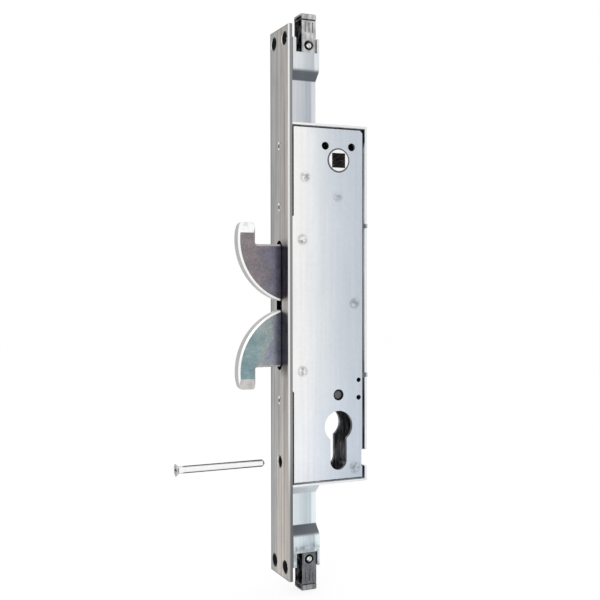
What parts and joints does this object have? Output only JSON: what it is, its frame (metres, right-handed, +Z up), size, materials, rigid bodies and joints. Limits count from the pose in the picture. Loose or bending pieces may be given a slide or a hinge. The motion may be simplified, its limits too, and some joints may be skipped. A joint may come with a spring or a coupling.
{
  "type": "mortise hook lock",
  "caption": "Upright mortise lock for a sliding door: opposed hooks swing from a long faceplate, turned by a spindle through racks that also drive rods above and below.",
  "frame": {"origin": "centre of the back of the faceplate, where it lies on the edge of the door, midway between its four fixing holes", "axes": "+X runs from the back of the faceplate into the door, +Y from the cover side to the back of the case, +Z up along the faceplate"},
  "size_m": [0.1113, 0.026, 0.3234],
  "materials": {
    "faceplate_steel": "brushed stainless steel, drawn lengthways, soft highlight",
    "case_zinc": "bright zinc plated sheet steel, faintly blue",
    "bar_zinc": "zinc plated strip, smooth, a little darker than the case",
    "hook_steel": "hardened steel, satin, blue-grey to violet sheen, bright bevels",
    "pin_steel": "turned steel, riveted ends",
    "gear_steel": "sintered steel, matt",
    "follower_zinc": "zinc plated, smooth ring face",
    "connector_zinc": "die-cast zinc, plated, satin",
    "clamp_screw_steel": "blackened steel, satin",
    "cylinder_screw_steel": "nickel plated, bright"
  },
  "bodies": {
    "lock_case": {"faceplate": "faceplate_steel", "case_walls": "case_zinc", "case_back": "case_zinc", "case_cover": "case_zinc", "faceplate_rivets": "pin_steel", "case_posts": "pin_steel", "upper_hook_pivot": "pin_steel", "lower_hook_pivot": "pin_steel", "idler_axle": "pin_steel", "lever_post": "pin_steel"},
    "upper_drive": {"upper_drive_bar": "bar_zinc", "lower_hook_drive_pin": "pin_steel", "upper_connector": "connector_zinc", "upper_clamp_screw": "clamp_screw_steel"},
    "lower_drive": {"lower_drive_bar": "bar_zinc", "upper_hook_drive_pin": "pin_steel", "lower_connector": "connector_zinc", "lower_clamp_screw": "clamp_screw_steel"},
    "upper_hook_body": {"upper_hook": "hook_steel"},
    "lower_hook_body": {"lower_hook": "hook_steel"},
    "follower_body": {"follower": "follower_zinc"},
    "idler_body": {"idler_gear": "gear_steel"},
    "lever_body": {"lock_lever": "gear_steel"},
    "screw_body": {"cylinder_screw": "cylinder_screw_steel"}
  },
  "joints": [
    {"name": "upper_drive_slide", "type": "slide", "parent": "lock_case", "child": "upper_drive", "axis": [0, 0, 1], "range_m": [-0.012, 0]},
    {"name": "lower_drive_slide", "type": "slide", "parent": "lock_case", "child": "lower_drive", "axis": [0, 0, 1], "range_m": [0, 0.012]},
    {"name": "follower_turn", "type": "hinge", "parent": "lock_case", "child": "follower_body", "pos_m": [0.03, 0, 0.0805], "axis": [0, 1, 0], "range_deg": [-0.01, 91.68]},
    {"name": "idler_turn", "type": "hinge", "parent": "lock_case", "child": "idler_body", "pos_m": [0.03, 0, 0.06], "axis": [0, 1, 0], "range_deg": [-52.9, 0.01]},
    {"name": "upper_hook_turn", "type": "hinge", "parent": "lock_case", "child": "upper_hook_body", "pos_m": [0.0078, 0, 0.0357], "axis": [0, 1, 0], "range_deg": [-90.01, 0.01]},
    {"name": "lower_hook_turn", "type": "hinge", "parent": "lock_case", "child": "lower_hook_body", "pos_m": [0.0078, 0, -0.0375], "axis": [0, 1, 0], "range_deg": [-0.01, 90.01]},
    {"name": "lever_turn", "type": "hinge", "parent": "lock_case", "child": "lever_body", "pos_m": [0.03, 0, -0.0517], "axis": [0, 1, 0], "range_deg": [-18, 0], "stiffness_Nm_per_rad": 0.02},
    {"name": "screw_slide", "type": "slide", "parent": "lock_case", "child": "screw_body", "axis": [1, 0, 0], "range_m": [0, 0.0603]}
  ],
  "couplings": [
    {"joint": "lower_drive_slide", "follows": "upper_drive_slide", "ratio": -1},
    {"joint": "idler_turn", "follows": "upper_drive_slide", "rad_per_m": 76.923},
    {"joint": "follower_turn", "follows": "upper_drive_slide", "rad_per_m": -133.33},
    {"joint": "upper_hook_turn", "follows": "upper_drive_slide", "rad_per_m": 130.9},
    {"joint": "lower_hook_turn", "follows": "upper_drive_slide", "rad_per_m": -130.9}
  ]
}
